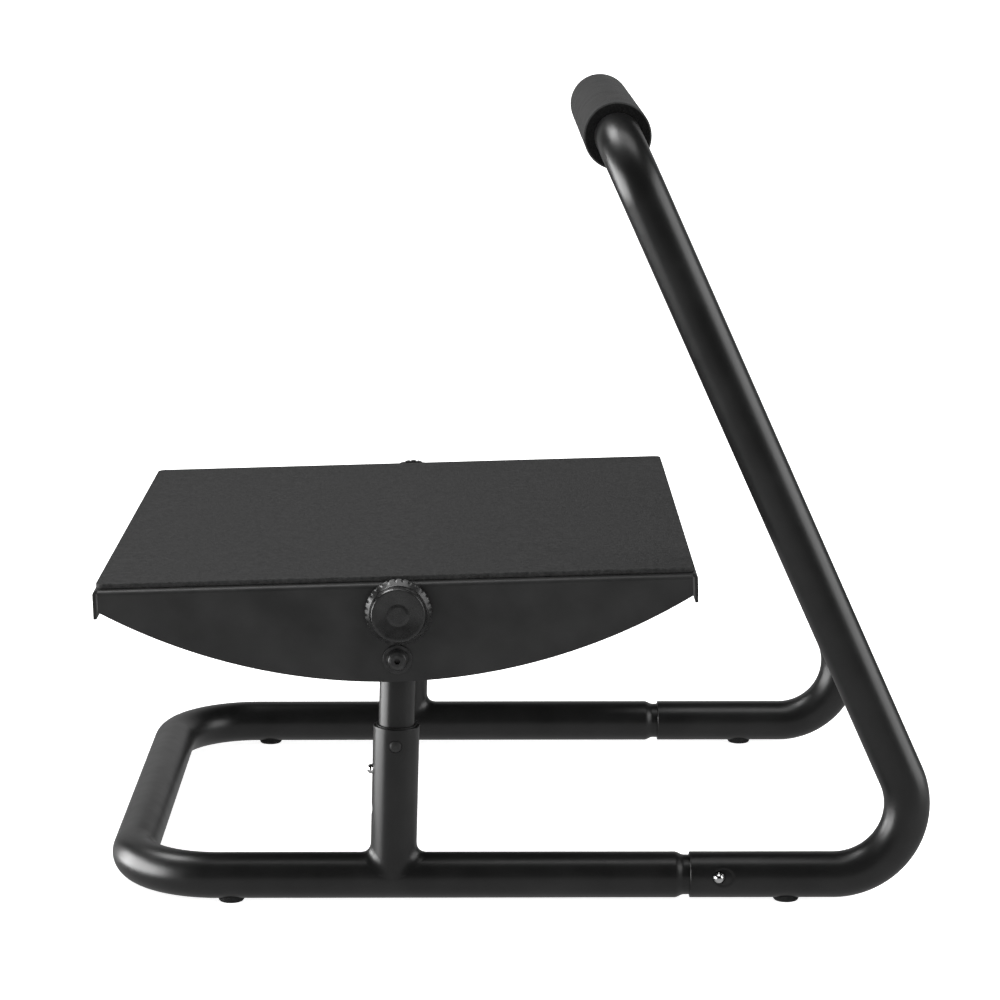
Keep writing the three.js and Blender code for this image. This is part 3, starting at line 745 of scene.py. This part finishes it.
def make_insert(hand, side):
    profile = [(4.3, 186), (5.4, 186, 0.3), (5.4, 191), (7, 191.6, 0.3), (7, 193.6, 0.3), (5.4, 194.2)]
    profile += [(5.4, 198, 0.3), (4.3, 198)]
    centre = (POST_X, 0, PIVOT_Z + CLAMP_RISE)
    obj = lathe(f"clamp_insert_{hand}_skin", soften(profile, closed=True), centre, (0, side, 0))
    place(leant(obj), "posts", "zinc_hardware", f"clamp_insert_{hand}")


# Clamp


def make_clamp(hand, side):
    centre, out = (POST_X, 0, PIVOT_Z + CLAMP_RISE), (0, side, 0)
    obj = lathe(f"clamp_washer_{hand}_skin", washer(12, CLAMP_WASHER_Y, 0.3, 0.4), centre, out)
    place(leant(obj), f"clamp_washer_{hand}", "black_hardware", f"clamp_washer_{hand}")

    flutes = 28
    outline = [(0, 187.5), (3.4, 187.5, 0.2), (BOLT_R, 188.1, 0.2), (BOLT_R, KNOB_Y), (18.8, KNOB_Y)]
    outline += [(20.3, 204.9, 0.4), (20.5, 208.4, 1.0), (17.5, 211.9, 0.9), (16.9, 216.0, 0.6)]
    outline += [(16.1, KNOB_TOP_Y, 0.9), (14.6, 217.5, 1.0), (6.8, 216.2, 1.5), (5.2, 216.9, 0.9), (0, 216.9)]
    profile = soften(outline, steps=7)
    rows = []
    for (r, h), (s, g) in zip(profile, profile[1:]):
        steps = max(1, round(math.hypot(s - r, g - h) / 0.8)) if h > 204.8 and r > 15 else 1
        rows += [(r + (s - r) * k / steps, h + (g - h) * k / steps) for k in range(steps)]
    rows.append(profile[-1])

    def ripple(angle, r, h):
        if r < 16.95 or h < 204.7:
            return r
        share = (angle * flutes / (2 * math.pi)) % 1.0
        groove = ease(1 - abs(share - 0.5) / 0.26)
        return r - 0.7 * groove * ease((210.6 - h) / 3.2)

    obj = lathe(f"knob_{hand}_skin", rows, centre, out, flutes * 14, ripple)
    place(leant(obj), f"knob_{hand}", "knob_plastic", f"knob_{hand}", angle=50)


# Platform, in its own frame with the pivot at the origin


def on_platform(x, y, z):
    """A point of the platform, from its own frame to the whole object's at rest."""
    c, s = math.cos(REST_TILT), math.sin(REST_TILT)
    return Vector((POST_X + x * c - z * s, y, PIVOT_Z + x * s + z * c))


def arc_low(x):
    """Height of the flange's lower edge."""
    return ARC_LOW + ARC_R - math.sqrt(ARC_R**2 - x**2)


def spread(a, b, n):
    return [a + (b - a) * k / n for k in range(n + 1)]


def arc(centre, radius, start, end, steps, skip=0):
    """Points along an arc; skip leaves out that many at each end."""
    turns = [start + (end - start) * k / steps for k in range(skip, steps + 1 - skip)]
    return [(centre[0] + radius * math.cos(a), centre[1] + radius * math.sin(a)) for a in turns]


def slot_outline():
    """The arc slot for the knob's stud, about the pivot; it lies straight up the leaning post."""
    half, up = math.radians(TILT_LIMIT + 0.6), math.pi / 2 - POST_LEAN
    low, high = up - half, up + half
    ends = [(CLAMP_RISE * math.cos(a), CLAMP_RISE * math.sin(a)) for a in (low, high)]
    outline = arc((0, 0), CLAMP_RISE + BOLT_HOLE, low, high, 24)
    outline += arc(ends[1], BOLT_HOLE, high, high + math.pi, 16, skip=1)
    outline += arc((0, 0), CLAMP_RISE - BOLT_HOLE, high, low, 24)
    outline += arc(ends[0], BOLT_HOLE, low - math.pi, low, 16, skip=1)
    return outline


def make_pan():
    """One folded sheet: flat top, side flanges with arc-shaped lower edges, and two end lips."""
    xs = spread(-FLANGE_HALF, FLANGE_HALF, 72)
    w, top, bend = PAN_HALF_WIDTH, PAN_TOP, PAN_BEND
    turn = [math.pi / 2 * k / 8 for k in range(9)]
    rise = [("share", 0.0), ("share", 0.35), ("share", 0.7)]  # shares of the way up a flange
    profile = [(-w, share) for share in rise]
    profile += [(-w + bend - bend * math.cos(a), top - bend + bend * math.sin(a)) for a in turn]
    flat = [-LIP_HALF_WIDTH] + spread(-190, 190, 24) + [LIP_HALF_WIDTH]
    profile += [(y, top) for y in flat]
    profile += [(w - bend + bend * math.sin(a), top - bend + bend * math.cos(a)) for a in turn]
    profile += [(w, share) for share in reversed(rise)]
    verts, faces = [], []
    rows = len(profile)
    for x in xs:
        for y, z in profile:
            if isinstance(z, tuple):
                z = arc_low(x) + (top - bend - arc_low(x)) * z[1]
            verts.append((x, y, z))
    for i in range(len(xs) - 1):
        for j in range(rows - 1):
            a = i * rows + j
            faces.append((a, a + 1, a + rows + 1, a + rows))
    first = profile.index((-LIP_HALF_WIDTH, top))
    for end, column in ((-1, 0), (1, len(xs) - 1)):
        face = end * PAN_HALF
        line = [(face - end * (bend - bend * math.sin(a)), top - bend + bend * math.cos(a)) for a in turn]
        line += [(face, top - bend - (LIP_DEPTH - bend) * k / 3) for k in (1, 2, 3)]
        before = [column * rows + first + k for k in range(len(flat))]
        for x, z in line:
            after = list(range(len(verts), len(verts) + len(flat)))
            verts += [(x, y, z) for y in flat]
            for k in range(len(flat) - 1):
                faces.append((before[k], before[k + 1], after[k + 1], after[k]))
            before = after
    obj = mesh_object("pan_skin", [on_platform(*v) for v in verts], faces)
    if max(obj.data.polygons, key=lambda f: f.center.z).normal.z < 0:
        obj.data.flip_normals()
    thick = obj.modifiers.new("sheet", "SOLIDIFY")
    thick.thickness, thick.offset, thick.use_even_offset = SHEET * MM, -1.0, True
    applied(obj)
    edge = obj.modifiers.new("edge", "BEVEL")
    edge.width, edge.segments, edge.limit_method = 0.45 * MM, 3, "ANGLE"
    edge.angle_limit = math.radians(50)
    applied(obj)
    carve(obj, drum(BOLT_HOLE, (POST_X, -210, PIVOT_Z), (POST_X, 210, PIVOT_Z)))
    carve(obj, push("slot", slot_outline(), lambda u, v, d: on_platform(u, d, v), -210, 210))
    place(obj, "platform", "platform_paint", "pan")


def rounded_rectangle(a, b, r, steps=8):
    corners = ((a - r, -b + r, -90), (a - r, b - r, 0), (-a + r, b - r, 90), (-a + r, -b + r, 180))
    out = []
    for cx, cy, start in corners:
        out += arc((cx, cy), r, math.radians(start), math.radians(start + 90), steps)
    return out


def make_mat():
    low, high = PAN_TOP + 0.05, PAN_TOP + MAT_TOP
    levels = [(2.0, low), (0.25, low), (0, low + 0.25), (0, high - 0.6), (0.1, high - 0.25)]
    levels += [(0.28, high - 0.08), (0.6, high), (1.6, high)]
    verts, rings, faces = [], [], []
    for inset, z in levels:
        ring = rounded_rectangle(MAT_HALF - inset, MAT_HALF_WIDTH - inset, MAT_CORNER - inset)
        rings.append(list(range(len(verts), len(verts) + len(ring))))
        verts += [on_platform(x, y, z) for x, y in ring]
    for one, other in zip(rings, rings[1:]):
        faces += bridge(one, other)
    faces += [tuple(rings[0]), tuple(rings[-1])]
    obj = mesh_object("mat_skin", verts, faces)
    place(obj, "platform", "platform_mat", "mat")


make_base_tube()
make_handle_tube()
make_grip()
make_pan()
make_mat()
for hand, side in HANDS:
    for end in ("front", "rear"):
        make_foot(hand, side, end)
    make_frame_snap(hand, side)
    make_sleeve(hand, side)
    make_liner(hand, side)
    make_post(hand, side)
    make_saddle("pivot_saddle", hand, side, PIVOT_Z)
    make_saddle("clamp_saddle", hand, side, PIVOT_Z + CLAMP_RISE)
    make_pivot(hand, side)
    make_insert(hand, side)
    make_clamp(hand, side)


# Floor, light and camera


def make_floor():
    mesh = bpy.data.meshes.new("floor")
    mesh.from_pydata([(-30, -30, 0), (30, -30, 0), (30, 60, 0), (-30, 60, 0)], [], [(0, 1, 2, 3)])
    obj = bpy.data.objects.new("floor", mesh)
    bpy.context.scene.collection.objects.link(obj)
    glow = {"Emission_Color": (1, 1, 1, 1), "Emission_Strength": 0.85}
    p = Paint("pale_floor", Specular_IOR_Level=0.2, **glow)
    p.colour(p.noise(3, 2), grey(0.86), grey(0.88))
    p.gloss(p.noise(40, 3), 0.75, 0.85)
    mesh.materials.append(p.material)
    obj.visible_glossy = False


def area(name, size, power, spot, aim, lit=True):
    """A soft light; one with lit off shows only as a reflection, as a card beside a product does."""
    data = bpy.data.lights.new(name, "AREA")
    data.shape, data.size, data.size_y, data.energy = "RECTANGLE", size[0], size[1], power
    obj = bpy.data.objects.new(name, data)
    bpy.context.scene.collection.objects.link(obj)
    obj.location = spot
    obj.rotation_euler = (Vector(aim) - Vector(spot)).to_track_quat("-Z", "Y").to_euler()
    obj.visible_camera = False
    obj.visible_diffuse = lit


STUDIO_WHITE, WORLD_STRENGTH = (1, 1, 1, 1), 1.2

make_floor()
area("top_softbox", (1.6, 0.8), 12, (-0.1, -0.15, 2.0), (-0.05, 0, 0.1))
area("right_softbox", (1.5, 1.5), 24, (1.8, -0.25, 0.75), (0, 0, 0.25))
area("back_card", (3.0, 1.2), 5.7, (0, 1.7, 0.65), (0, 0, 0.3))
area("left_card", (1.4, 0.7), 36, (-1.3, -0.12, 0.16), (0, -0.12, 0.16), lit=False)
area("high_card", (0.7, 0.7), 17, (-0.9, 0.3, 1.75), (0.05, -0.15, 0.3), lit=False)
area("floor_card", (2.0, 3.0), 7.5, (0.4, 0, 0.002), (0.4, 0, 1), lit=False)
world = bpy.data.worlds.new("studio")
bpy.context.scene.world = world
world.use_nodes = True
background = world.node_tree.nodes["Background"].inputs
background["Color"].default_value = STUDIO_WHITE
background["Strength"].default_value = WORLD_STRENGTH
world.cycles_visibility.glossy = False
bpy.context.scene.view_settings.view_transform = "Standard"
bpy.context.scene.view_settings.look = "None"

camera = bpy.data.objects.new("camera", bpy.data.cameras.new("camera"))
bpy.context.scene.collection.objects.link(camera)
camera.location = (-0.0189, -2.105, 0.619)
camera.rotation_euler = (math.radians(90 - 10.79), 0, math.radians(-0.30))
camera.data.lens, camera.data.sensor_width = 115.2, 36
bpy.context.scene.camera = camera
